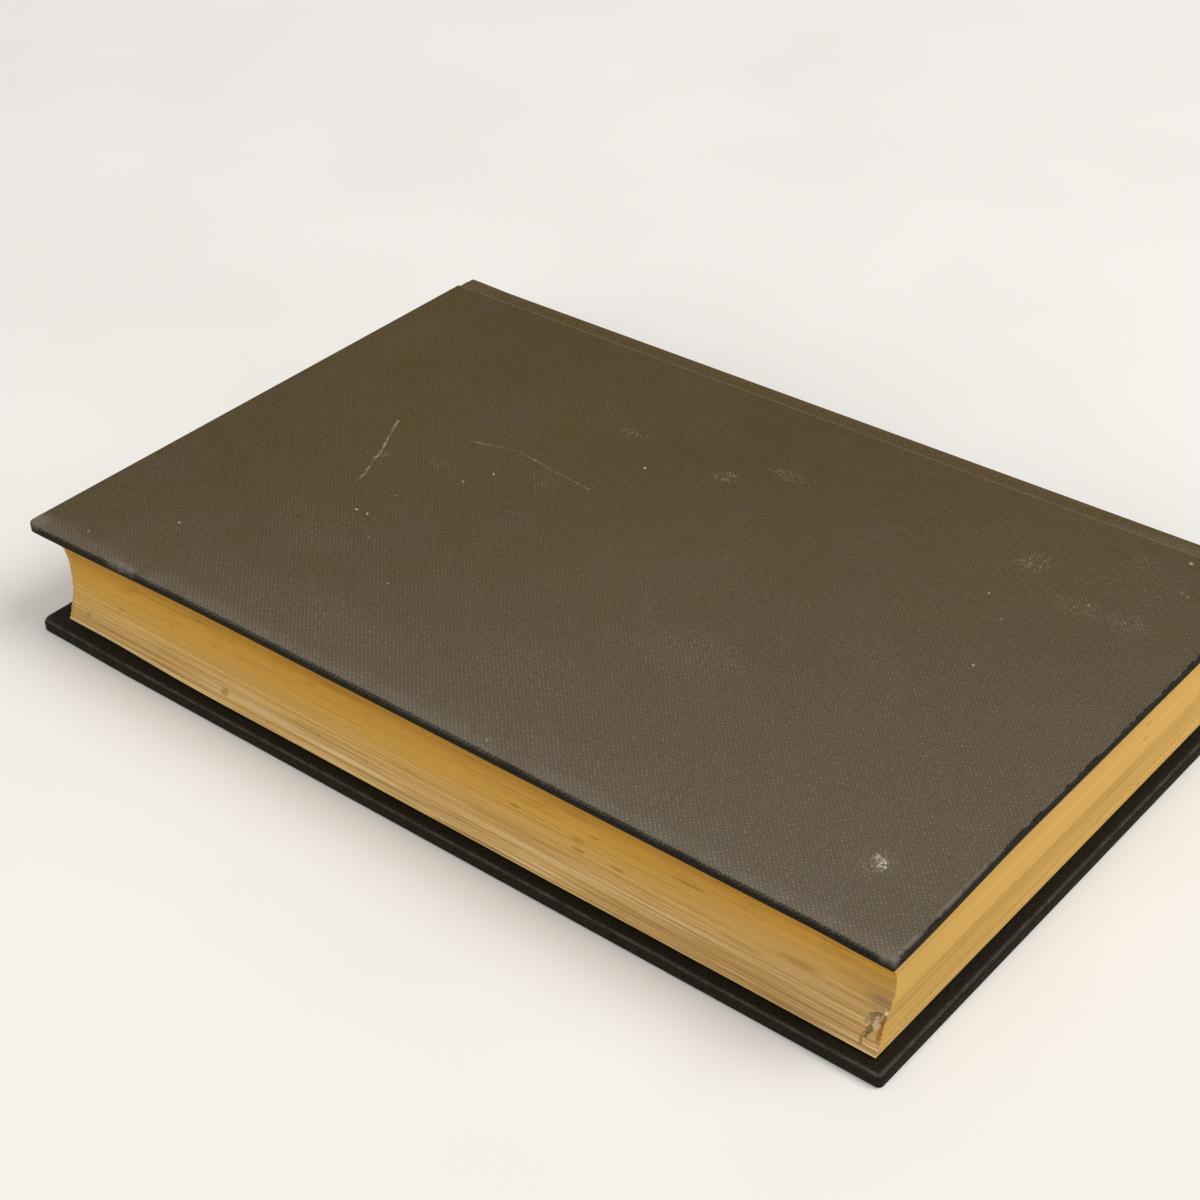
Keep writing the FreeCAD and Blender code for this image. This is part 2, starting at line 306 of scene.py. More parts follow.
# %% Tables of points to meshes
def mesh_from(name, tables, material, smooth=True):
    """A mesh of one or more tables: each has points (rows, columns, 3) in millimetres,
    and may have a flat map (rows, columns, 2) and masks (rows, columns)."""
    points, corners, maps, masks, start = [], [], [], {}, 0
    for table in tables:
        grid = table["points"]
        rows, cols = grid.shape[:2]
        index = np.arange(rows * cols).reshape(rows, cols) + start
        cells = [index[:-1, :-1], index[:-1, 1:], index[1:, 1:], index[1:, :-1]]
        quads = np.stack(cells[::-1] if table.get("flip") else cells, -1).reshape(-1, 4)
        points.append(grid.reshape(-1, 3))
        corners.append(quads)
        flat = table.get("map", grid[..., :2] / 300.0 + 0.5)
        maps.append(flat.reshape(-1, 2))
        for key, value in table.get("masks", {}).items():
            masks.setdefault(key, []).append(np.broadcast_to(value, (rows, cols)).ravel())
        start += rows * cols
    points, corners, maps = (np.concatenate(v) for v in (points, corners, maps))
    mesh = bpy.data.meshes.new(name)
    mesh.vertices.add(len(points))
    mesh.vertices.foreach_set("co", (points * MM).astype(np.float32).ravel())
    mesh.loops.add(corners.size)
    mesh.loops.foreach_set("vertex_index", corners.astype(np.int32).ravel())
    mesh.polygons.add(len(corners))
    mesh.polygons.foreach_set("loop_start", np.arange(0, corners.size, 4, dtype=np.int32))
    mesh.polygons.foreach_set("loop_total", np.full(len(corners), 4, np.int32))
    mesh.update(calc_edges=True)
    layer = mesh.uv_layers.new(name="Sheet")
    layer.data.foreach_set("uv", maps[corners.ravel()].astype(np.float32).ravel())
    for key, values in masks.items():
        attribute = mesh.attributes.new(key, "FLOAT", "POINT")
        attribute.data.foreach_set("value", np.concatenate(values).astype(np.float32))
    made = bmesh.new()
    made.from_mesh(mesh)
    bmesh.ops.remove_doubles(made, verts=made.verts, dist=1e-6)
    bmesh.ops.dissolve_degenerate(made, edges=made.edges, dist=1e-7)
    made.to_mesh(mesh)
    made.free()
    mesh.polygons.foreach_set("use_smooth", np.full(len(mesh.polygons), smooth))
    mesh.materials.append(material)
    mesh.update()
    obj = bpy.data.objects.new(name, mesh)
    bpy.context.collection.objects.link(obj)
    print("%-20s %6d faces" % (name, len(mesh.polygons)))
    return obj


def ramp(value, start, end):
    """0 before start, 1 past end and smooth between them, for arrays."""
    t = np.clip((value - start) / (end - start), 0, 1)
    return t * t * (3 - 2 * t)


def soften(values, width, spacing):
    """A row of numbers rounded off by averaging over a width."""
    reach = int(3 * width / spacing)
    weights = np.exp(-0.5 * (np.arange(-reach, reach + 1) * spacing / width) ** 2)
    padded = np.concatenate([
        2 * values[0] - values[reach:0:-1], values, 2 * values[-1] - values[-2:-reach - 2:-1]])
    return np.convolve(padded, weights / weights.sum(), "valid")


# %% [markdown]
# ## Floor and light
# A plain pale floor, an even sky and two large soft lamps: one high on the head's side, which
# brightens the head of the pages as in the photograph, and a weaker one from the fore-edge.

# %% Floor, sky and lamps
floor_net = Net("pale_floor", Roughness=0.9)
spot = floor_net.noise(floor_net.place(), 0.01, 2.0)
floor_net.finish(floor_net.colour(spot, (0.80, 0.79, 0.77), (0.83, 0.82, 0.80)), 0.9)
across = np.linspace(-4000, 4000, 9)
gx, gy = np.meshgrid(across, across, indexing="ij")
floor = mesh_from("floor", [{"points": np.stack([gx, gy, 0 * gx - 0.02], -1), "flip": True}],
                  floor_net.material)
floor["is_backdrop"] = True


def sky(strength, seen, tint):
    """An even sky; the camera, mirrors and glass see it at another strength, so that the
    picture's background is as pale as the floor and the book gets no more light for it."""
    world = bpy.data.worlds.new("Sky")
    world.use_nodes = True
    tree = world.node_tree
    shader = tree.nodes["Background"]
    shader.inputs["Color"].default_value = (*tint, 1.0)
    path = tree.nodes.new("ShaderNodeLightPath")
    value = None
    for ray in ("Is Camera Ray", "Is Glossy Ray", "Is Transmission Ray"):
        if value is None:
            value = path.outputs[ray]
            continue
        either = tree.nodes.new("ShaderNodeMath")
        either.operation = "MAXIMUM"
        tree.links.new(value, either.inputs[0])
        tree.links.new(path.outputs[ray], either.inputs[1])
        value = either.outputs[0]
    level = tree.nodes.new("ShaderNodeMapRange")
    level.inputs["To Min"].default_value = strength
    level.inputs["To Max"].default_value = seen
    tree.links.new(value, level.inputs["Value"])
    tree.links.new(level.outputs["Result"], shader.inputs["Strength"])
    bpy.context.scene.world = world


sky(0.46, 0.78, (1.0, 0.985, 0.96))


def lamp(name, place, aim, size, power, tint):
    """A square soft lamp at a place, facing aim, all in metres and watts."""
    data = bpy.data.lights.new(name, "AREA")
    data.size, data.energy, data.color = size, power, tint
    obj = bpy.data.objects.new(name, data)
    bpy.context.collection.objects.link(obj)
    away = np.array(place) - np.array(aim)
    away = away / np.linalg.norm(away)
    side = np.cross((0, 0, 1), away)
    side = side / np.linalg.norm(side)
    pose = np.eye(4)
    pose[:3, 0], pose[:3, 1], pose[:3, 2], pose[:3, 3] = side, np.cross(away, side), away, place
    obj.matrix_world = Matrix(pose.tolist())


lamp("lamp_high", (-0.8, 1.5, 2.3), (0, 0, 0), 1.8, 52.0, (1.0, 0.98, 0.95))
lamp("lamp_low", (2.3, 0.3, 1.5), (0, 0, 0), 1.7, 30.0, (1.0, 0.97, 0.93))
view = bpy.context.scene.view_settings
view.view_transform = "Standard"

# %% [markdown]
# ## Finish: book cloth
# Book cloth is a plain weave filled with starch and colour. Two sine waves, one for each
# thread direction, multiply into a chequer of small crowns: where the product is positive
# the warp lies on top, where it is negative the weft does. The photograph's weave repeats
# every 1.20 by 1.17 mm, two threads each way, and its warp crowns are painted paler: partly
# painted highlight where they catch the light, partly wear that takes the filler off them.
# The edges and the folded-in parts have kept their black, and are painted darker still as
# shade. Scratches, scuffs and specks lie where the photograph has them.

# %% Book cloth
SPAN = 400.0
THREAD_ACROSS, THREAD_ALONG = 0.602, 0.585


def segment_mask(net, point, start, end, wide):
    """1 on a line between two places of the cover, 0 further off than wide: the point is
    dropped onto the line, held between its ends, and its distance is measured."""
    ax, ay = start
    dx, dy = end[0] - ax, end[1] - ay
    x, y, _ = net.split(point)
    along = ((x - ax) * dx + (y - ay) * dy) / (dx * dx + dy * dy)
    along = along.most(0.0).least(1.0)
    off_x, off_y = x - (along * dx + ax), y - (along * dy + ay)
    return ((off_x * off_x + off_y * off_y) ** 0.5).step(wide, wide * 0.3)


def patch_mask(net, point, middle, size):
    """1 in the middle of an oval patch of the cover, fading to 0 at its rim."""
    x, y, _ = net.split(point)
    off_x, off_y = (x - middle[0]) / size[0], (y - middle[1]) / size[1]
    return (off_x * off_x + off_y * off_y).step(1.0, 0.0)


SCRATCH = [(-6.1, -82.9), (-2.2, -81.1), (7.0, -76.1), (11.8, -74.3), (16.7, -72.1), (20.4, -71.3)]
HAIRLINE = [(-9.5, -62.1), (-11.9, -53.6), (-12.9, -48.6), (-11.7, -40.6), (-9.7, -24.6)]
SPECKS = [
    (5.3, -50.8, 0.45, 0.8), (-1.6, -47.2, 0.4, 0.9), (29.4, -62.3, 0.75, 1.0),
    (29.2, -59.0, 0.5, 1.0), (36.1, -51.9, 0.4, 0.7), (19.6, -59.2, 0.4, 0.5),
    (47.3, -35.1, 0.45, 0.7), (-25.2, -20.1, 0.55, 1.0), (-29.7, 72.1, 0.5, 0.6),
    (-38.3, 91.6, 0.5, 0.6), (-22.7, 79.5, 0.4, 0.4), (-5.1, 83.5, 0.5, 0.8),
    (-53.7, 107.0, 0.5, 0.9), (-54.4, 105.2, 0.4, 0.7), (-65.7, 101.5, 0.8, 0.6),
    (73.3, -105.8, 0.5, 0.6), (58.3, -91.5, 0.55, 0.9), (63.2, -90.4, 0.4, 0.5),
    (75.2, 19.7, 0.5, 0.9), (-71.0, 76.4, 0.7, 0.4),
]
SCUFFS = [
    (-33.6, -2.1, 2.6, 2.6, 1.0), (-42.6, 8.6, 1.7, 4.6, 0.8), (-36.2, -32.0, 2.0, 4.2, 0.6),
    (-45.5, 74.0, 3.4, 3.6, 0.8), (-36.5, 90.5, 3.5, 6.0, 0.35), (-37.6, 102.0, 2.6, 5.0, 0.5),
    (-60.0, 93.0, 3.0, 3.0, 0.35), (-52.0, 96.0, 6.0, 9.0, 0.2), (27.7, 34.5, 7.0, 12.0, 0.32),
    (58.8, 102.4, 3.8, 3.6, 0.7), (8.0, -75.0, 2.6, 1.8, 0.7), (2.5, -61.0, 1.6, 2.6, 0.3),
    (54.0, 12.0, 8.0, 13.0, 0.22), (40.0, -60.0, 8.0, 16.0, 0.16), (-6.0, -36.0, 5.0, 4.0, 0.25),
    (66.0, -40.0, 7.0, 30.0, 0.22), (70.5, 50.0, 4.0, 60.0, 0.2), (-43.0, -45.0, 2.0, 3.0, 0.3),
]
TIPS = [(77.0, -119.0, 3.4, 3.4), (78.4, 118.6, 2.4, 2.8), (78.2, -88.6, 1.6, 6.0)]


def line_mask(net, point, places, wide):
    """A broken line through several places."""
    return strongest(segment_mask(net, point, start, end, wide)
                     for start, end in zip(places[:-1], places[1:]))


def book_cloth():
    net = Net("book_cloth", Specular_IOR_Level=0.12)
    u, v = net.flat(SPAN)
    point = net.place()
    x, y, z = net.split(point)
    sheet = net.vector(u, v)
    slub = net.noise(net.vector(u * 1.66, v * 0.12), 1.0, 2.0)
    cross_slub = net.noise(net.vector(u * 0.12, v * 1.7), 1.0, 2.0)
    # No thread runs quite straight.
    wobble = (net.noise(sheet, 0.12, 2.0) - 0.5) * 0.30 + (net.noise(sheet, 0.7, 1.0) - 0.5) * 0.34
    wave = ((u + wobble) * (math.pi / THREAD_ACROSS)).sin() * (
        (v + wobble) * (math.pi / THREAD_ALONG)).sin()
    warp = wave.most(0.0) ** 0.8
    weft = (wave * -1.0).most(0.0) ** 0.8

    faded_vs_shaded_edge = net.mask("faded_vs_shaded_edge")
    rub_and_highlight = net.mask("arris")
    broad = net.noise(sheet, 0.012, 3.0)
    patchy = net.noise(sheet, 0.075, 3.0, 0.55)
    grain = net.noise(point, 1.1, 3.0, 0.6)
    top = z.step(TALL - 1.3, TALL - 0.5)

    # Brown cloth with patches and a reddish tint. A painted sheen makes it paler and greyer towards
    # the near corner; it is also paler towards the fore-edge.
    ground = net.colour(broad, (0.070, 0.046, 0.016), (0.083, 0.057, 0.022))
    ground = net.colour(patchy * 0.45, ground, (0.073, 0.058, 0.030))
    red = net.noise(net.vector(u, v, 40.0), 0.09, 3.0)
    ground = net.colour(red.step(0.45, 1.0) * 0.32, ground, (0.095, 0.056, 0.036))
    # Painted sheen: paler and greyer towards the near corner.
    near_sheen = (x * 0.0080 + y * 0.0046).step(-0.58, 1.08)
    ground = net.colour(near_sheen * 0.9, ground, (0.114, 0.091, 0.060))
    edgewise = (x * 0.030 + y * 0.004).step(1.45, 2.85) * (0.35 + 0.65 * patchy)
    ground = net.colour(edgewise * 0.30, ground, (0.120, 0.101, 0.080))
    strip = x.step(-68.6, -70.2) * z.step(TALL - 4.5, TALL - 3.0)
    ground = net.colour(strip * 0.6, ground, (0.108, 0.076, 0.034))
    # The edges and turn-ins are near-black: their kept dye, darkened further as painted shade.
    edge_black_and_shade = net.colour(grain, (0.0070, 0.0052, 0.0020), (0.014, 0.011, 0.0060))
    ground = net.colour(faded_vs_shaded_edge, edge_black_and_shade, ground)

    # The crowns of the threads catch the light, a painted highlight; rubbed edges are grey, and the
    # arrises also carry a painted highlight line.
    rim = x.step(72.0, 78.0) * top
    uneven = net.noise(sheet, 0.95, 2.0, 0.7)
    crowns = warp * (0.02 + 0.45 * slub + 1.10 * uneven) + weft * (0.12 + 0.35 * cross_slub)
    lit = net.gain(ground, 0.79 + crowns * (0.74 + rim * 0.36) * (1.0 - rub_and_highlight * 0.6))
    rubbed_and_highlit = rub_and_highlight * (0.35 + 0.65 * net.noise(point, 0.3, 4.0, 0.65)) * (0.65 + 0.35 * warp)
    lit = net.colour(rubbed_and_highlit * 0.75, lit, (0.120, 0.108, 0.086))
    crease = net.mask("crease")
    lit = net.colour(crease * 0.75, lit, (0.085, 0.078, 0.062))
    # A painted highlight along the front board's spine-side edge.
    lit = net.colour(net.mask("board_edge_highlight") * (0.55 + 0.45 * patchy), lit, (0.190, 0.148, 0.075))
    lit = net.colour(rim * (0.10 + 0.35 * warp) * patchy.step(-0.3, 0.9), lit, (0.21, 0.195, 0.16))

    # Scratches, scuffs and dust: all are broken up by the grain of the cloth.
    broken = net.noise(point, 0.22, 4.0, 0.7)
    torn_by = net.vector(x + (grain - 0.5) * 0.5, y + (grain - 0.5) * 0.4)
    gaps = net.noise(point, 0.55, 3.0, 0.7)
    marks = line_mask(net, torn_by, SCRATCH, 0.44) * (0.10 + broken.step(0.25, 0.7) * gaps * 1.1)
    marks = marks.most(line_mask(net, torn_by, HAIRLINE, 0.40) * (0.05 + broken * gaps * 0.62))
    scuffed = strongest(patch_mask(net, point, (px, py), (rx * 1.5, ry * 1.5)) * much
                        for px, py, rx, ry, much in SCUFFS)
    clump = net.noise(sheet, 0.8, 3.0, 0.6)
    marks = marks.most(scuffed * clump.step(0.35, 0.95) * (0.2 + 0.8 * warp))
    dust, chosen = net.cells(net.vector(u + grain * 0.4, v + grain * 0.3), 0.10)
    marks = marks.most(dust.step(0.030, 0.012) * chosen.step(0.6, 0.9) * 0.6)
    lit = net.colour(marks * top * 0.8, lit, (0.33, 0.29, 0.21))

    # Specks and the chip near the front corner go through to the pale cotton.
    dots = strongest(patch_mask(net, torn_by, (px, py), (size * 0.72, size * 0.80)) * much
                     for px, py, size, much in SPECKS)
    ragged = net.noise(point, 0.75, 3.0, 0.7)
    chipped = net.vector(x + (ragged - 0.5) * 2.6, y + (grain - 0.5) * 2.2)
    chip = patch_mask(net, chipped, (58.4, 103.5), (0.75, 1.15)).most(
        patch_mask(net, chipped, (57.6, 101.9), (0.5, 0.65)))
    dots = dots.most(chip)
    halo = patch_mask(net, chipped, (59.2, 102.6), (3.6, 3.0)) * ragged.step(0.42, 0.75)
    lit = net.colour(halo * 0.35, lit, (0.24, 0.20, 0.125))
    lit = net.colour(dots * top * 0.72, lit, (0.58, 0.54, 0.45))

    # Worn corners; the head's arris, rubbed and with a painted highlight line; and the joint near
    # the head.
    tips = strongest(patch_mask(net, point, (px, py), (rx, ry)) for px, py, rx, ry in TIPS)
    streak = net.noise(net.vector(x * 0.5, y * 0.5, z * 0.5), 1.0, 3.0, 0.7)
    lit = net.colour(tips * z.step(26.5, 28.4) * (0.15 + 0.7 * streak), lit, (0.165, 0.155, 0.125))
    head_arris_rub_and_highlight = y.step(118.3, 118.9) * z.step(28.2, 28.7) * broken.step(0.3, 0.75)
    lit = net.colour(head_arris_rub_and_highlight * 0.40, lit, (0.20, 0.18, 0.145))
    joint_wear = patch_mask(net, point, (-71.5, 96.0), (3.0, 26.0)) * top.most(z.step(26.4, 27.2))
    lit = net.colour(joint_wear * (0.2 + 0.35 * clump), lit, (0.15, 0.145, 0.115))
    rough = 0.66 + (1.0 - warp) * 0.12
    relief = warp * (0.75 + slub * 0.25) + weft * 0.6 + grain * 0.2
    return net.finish(lit, rough, relief, 0.09, 0.8)


cloth = book_cloth()

# %% [markdown]
# ## The case's cloth
# The case of the book is covered in one sheet of cloth, glued over two boards and a card
# spine and folded round their edges. A cover's half of it is a sheet cut at the middle of the
# spine: its section runs round the spine, dips into the joint, turns up over the board's edge
# and crosses the board. Rings follow the sheet's outline inwards, and carry on round the
# edge and onto the inner face, so that the fold is one surface with the face.
#
# The two covers have worn differently. The upper one has kept tight edges, its corners have
# spread and it bows a little. The lower one has rounder edges that stand out past its board,
# and a blunt corner at the tail.

# %% The section across the spine, the joint and the board
def case_section(joint, wide):
    """Outer and inner line of half the case, as (length, x, height) tables. The spine is an
    arc of a circle through the fold and the middle of the back; the joint is a half sine
    0.7 mm deep; both lines are rounded off by averaging."""
    half = TALL / 2 - 1.2
    radius = (half ** 2 + SPINE_ROUND ** 2) / (2 * SPINE_ROUND)
    turn = np.linspace(0, math.asin(half / radius), 40)[:-1]
    arc = np.stack([-joint - SPINE_ROUND + radius * (1 - np.cos(turn)),
                    TALL / 2 - radius * np.sin(turn)], -1)
    t = np.linspace(0, 1, 14)
    groove = np.stack([-joint + 0.9 + (joint - 1.15) * t,
                       0.95 + 0.70 * np.sin(math.pi * t) + 0.45 * t], -1)
    rest = np.array([[-0.05, 1.25], [0.0, 0.8], [0.12, 0.35], [0.45, 0.06], [0.9, 0.0],
                     [2.0, 0.0], [wide, 0.0]])
    line = np.concatenate([arc, [[-joint + 0.02, 1.12], [-joint + 0.42, 0.88]], groove, rest])
    length = np.concatenate([[0], np.cumsum(np.hypot(*np.diff(line, axis=0).T))])
    step = 0.05
    fine = np.arange(0, length[-1], step)
    x = soften(np.interp(fine, length, line[:, 0]), 0.25, step)
    z = soften(np.interp(fine, length, line[:, 1]), 0.25, step)
    dx, dz = np.gradient(x), np.gradient(z)
    size = np.hypot(dx, dz)
    on_spine = 1 - ramp(x, -joint - 0.8, -joint + 0.9)
    inner_x = x - dz / size * 1.5 * on_spine
    inner_z = on_spine * (z + dx / size * 1.5) + (1 - on_spine) * 2.8
    return fine, x, z, soften(inner_x, 0.3, step), soften(inner_z, 0.3, step)


# %% The folded sheet
BOW = 0.28
TURN_RINGS = np.array([0.45, 1.2, 2.4, 4.4, 7.4])
WEAR = {
    "front": {"corners": (1.7, 0.5), "outer": 0.60, "inner": 0.55, "inner_most": 0.35, "bow": BOW},
    "back": {"corners": (1.2, 2.7), "outer": 0.45, "inner": 1.15, "inner_most": 0.42, "bow": 0.0},
}


def spread_edges(side, x, b):
    """How far the edges stand out past the flat outline, along x and along b."""
    wide, half = covers[side]["wide"], covers[side]["half"]
    if side == "front":
        spread_x = 1.10 * ramp(b, 45, 120) ** 1.4 + 0.40 * ramp(-b, 100, 119)
        spread_y = -0.72 * ramp(x, wide - 48, wide - 6) * ramp(-b, 60, 119)
        return spread_x * ramp(x, wide - 40, wide), spread_y
    ease = 1 - 0.8 * ramp(-b, 85, 120)
    return 0.60 * ramp(x, wide - 20, wide) * ease, 0.50 * b / half * ramp(x, 0, 12) * ease


def half_case(side):
    """Points of half the case's cloth. Each column is a place on the outline, from the
    middle of the spine along one end, round the fore corner, down the fore-edge and back
    along the other end. Each row is a ring: inset from the edge on the outer face, then a
    quarter circle, the edge, another quarter circle and the turn-in."""
    cover, wear = covers[side], WEAR[side]
    length, out_x, out_z, in_x, in_z = case_section(cover["joint"], cover["wide"])
    across = length[-1]
    half = cover["half"]
    board = np.interp(2.0, out_x[len(out_x) // 8:], length[len(out_x) // 8:])
    near = np.concatenate([np.linspace(0, board - 14, 22)[:-1],
                           np.arange(board - 14, board, 0.22)])
    split = np.linspace(0, 1, 56)
    turn = np.linspace(0, 1, 15)[1:-1]
    fore = np.linspace(0, 1, 120)
    columns = [("near", near), ("far", split), ("turn", turn), ("fore", fore),
               ("turn2", turn), ("far2", split[::-1]), ("near2", near[::-1])]
    corner = wear["corners"]

    def outline(inset):
        """The outline moved inwards by inset, which has one value for each column."""
        a, b, at = [], [], 0
        for kind, t in columns:
            u = inset[:, at:at + len(t)]
            at += len(t)
            first = not kind.endswith("2")
            round_r = np.maximum(corner[0 if first else 1] - u, 0.02)
            top = half - u
            if kind.startswith("near"):
                pa, pb = t + 0 * u, top
            elif kind.startswith("far"):
                pa, pb = board + (across - u - round_r - board) * t, top
            elif kind.startswith("turn"):
                angle = (t if first else 1 - t) * math.pi / 2
                pa = across - u - round_r + round_r * np.sin(angle)
                pb = top - round_r + round_r * np.cos(angle)
            else:
                other = np.maximum(corner[1] - u, 0.02)
                pa = across - u
                pb = (top - round_r) * (1 - t) - (top - other) * t
                first = True
            a.append(pa)
            b.append(pb if first else -pb)
        return np.concatenate(a, 1), np.concatenate(b, 1)

    count = sum(len(t) for _, t in columns)
    angle_of = np.concatenate([t if kind.startswith("turn") else 9 + 0 * t for kind, t in columns])
    insets = np.concatenate([np.linspace(half - 0.001, 14, 22), np.geomspace(12, 1.0, 12)])
    flat_rows = insets[:, None] + np.zeros(count)
    a0, _ = outline(np.zeros((1, count)))
    gap_x = np.interp(a0[0], length, in_x) - np.interp(a0[0], length, out_x)
    gap_z = np.interp(a0[0], length, in_z) - np.interp(a0[0], length, out_z)
    deep = np.hypot(gap_x, gap_z)
    outer = np.minimum(wear["outer"], 0.40 * deep)
    inner = np.minimum(wear["inner"], wear["inner_most"] * deep)
    quarter = np.linspace(0, math.pi / 2, 8)[:, None]
    rows = [
        (flat_rows, 0 * flat_rows, flat_rows),
        (outer * (1 - np.sin(quarter)), outer * (1 - np.cos(quarter)), outer * (1 - quarter)),
    ]
    side_t = np.linspace(0, 1, 4)[1:-1, None]
    down = outer + (deep - outer - inner) * side_t
    rows.append((0 * down, down, -down + outer * 0.43))
    rows.append((inner * (1 - np.cos(quarter)), deep - inner * (1 - np.sin(quarter)),
                 -(deep - inner) + outer * 0.43 - inner * quarter))
    tuck = TURN_RINGS[:, None] + inner
    rows.append((tuck, deep + 0 * tuck, -deep - tuck + 0.5))
    inset, depth, run = (np.concatenate([r[k] for r in rows]) for k in range(3))
    a, b = outline(inset)
    share = depth / deep
    x = np.interp(a, length, out_x) * (1 - share) + np.interp(a, length, in_x) * share
    z = np.interp(a, length, out_z) * (1 - share) + np.interp(a, length, in_z) * share
    flat_a, flat_b = outline(run)
    joint = cover["joint"]
    # At head and tail the joint fills up with the folded cloth, flush with the board.
    window = ramp(out_x, -joint - 0.4, -joint + 0.5) * (1 - ramp(out_x, -0.15, 0.2))
    lift = np.interp(a, length, window * np.maximum(out_z - 0.6, 0))
    z = z - lift * ramp(np.abs(b), half - 15, half - 1.5)
    # The spine stands level with the back cover, so the front half turns to meet it.
    turned = 1 - ramp(x, -joint - SPINE_ROUND + 0.3, -joint - 0.3)
    y_shift = turned * (cover["shift"] if side == "front" else 0.0)
    bow = wear["bow"] * (1 - (b / half) ** 2) * ramp(x, 20, cover["wide"]) * (1 - 0.9 * share)
    spread_x, spread_y = spread_edges(side, x, b)
    points = np.stack([x + spread_x, b + spread_y + y_shift, z - bow], -1)
    edge = np.exp(-((depth - 0.05) / 0.16) ** 2 - ((inset - 0.25) / 0.45) ** 2)
    spine_edge = np.exp(-((x - 0.35) / 0.5) ** 2 - (z / 0.4) ** 2) * (x < 3)
    # A painted highlight line along the inner arris of the turn-in.
    low_edge = np.exp(-((depth - deep + 0.10) / 0.20) ** 2 - ((inset - inner * 0.6) / 0.35) ** 2)
    crease = np.exp(-((angle_of - 0.5) / 0.10) ** 2) * (depth >= deep - 0.05) * (inset > 0.4)
    at_end = ramp(np.abs(b), half - 2.5, half - 0.8)
    # A painted highlight along the board's spine-side edge, on the front cover only.
    board_edge_highlight = np.exp(-((x - 0.40) / 0.38) ** 2 - (z / 0.5) ** 2) * (x < 3) * (depth < 0.1)
    masks = {
        # Rubbed arrises with painted highlight lines, strongest on the inner arris.
        "arris": np.clip((0.8 - 0.8 * at_end) * edge + 0.6 * spine_edge + 1.0 * low_edge, 0, 1),
        "board_edge_highlight": board_edge_highlight * (side == "front"),
        # 1 on the faded face, 0 on the black edges, which are partly painted shade; at head and tail
        # the painted shade starts nearer the face.
        "faded_vs_shaded_edge": 1 - ramp(depth + 0.22 * at_end, 0.18, 0.42),
        "crease": crease,
    }
    flat = np.stack([flat_a, flat_b], -1) / SPAN + 0.5
    if side == "front":
        flat[..., 0] = 1.0 - flat[..., 0]
    return {"points": place(side, points), "map": flat, "masks": masks}


def bend_over_joint(piece, side):
    """The piece's place is baked into its mesh; it is not bent over the joint."""
    hinge = fold[side + "_hinge"] * MM
    side + "_cover"
    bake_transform(piece)


for side in ("front", "back"):
    table = half_case(side)
    piece = mesh_from(side + "_case_cloth", [table], cloth)
    bend_over_joint(piece, side)
    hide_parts(side + "_cover_cloth", "spine_cloth")

# %% [markdown]
# ## Finish: old page edges
# Cut page edges are hundreds of leaves seen end on. Noise that is stretched far along the
# leaves and squeezed across them gives the fine streaks; a slower noise gives the browned
# bands, and a few stretched spots are foxing.

# %% Page edges
FOXING = [
    (-106.7, 6.4, 1.1, 0.5), (-78.8, 14.1, 0.9, 0.6), (-60.3, 5.6, 1.5, 0.9),
    (-88.5, 20.2, 5.0, 0.45), (-66.0, 20.3, 6.0, 0.4), (-95.8, 11.8, 1.4, 0.4),
    (-63.8, 14.6, 1.0, 0.3), (24.8, 13.3, 1.6, 0.32), (41.0, 12.9, 2.2, 0.45),
    (41.7, 11.1, 2.0, 0.4), (51.8, 11.3, 2.0, 0.4), (45.2, 15.1, 1.6, 0.3),
    (42.0, 19.0, 7.0, 0.4), (14.0, 20.5, 12.0, 0.5), (-24.0, 20.8, 10.0, 0.45),
    (97.0, 11.5, 6.0, 0.7), (70.0, 15.5, 5.0, 0.4), (83.0, 9.5, 7.0, 0.35),
]


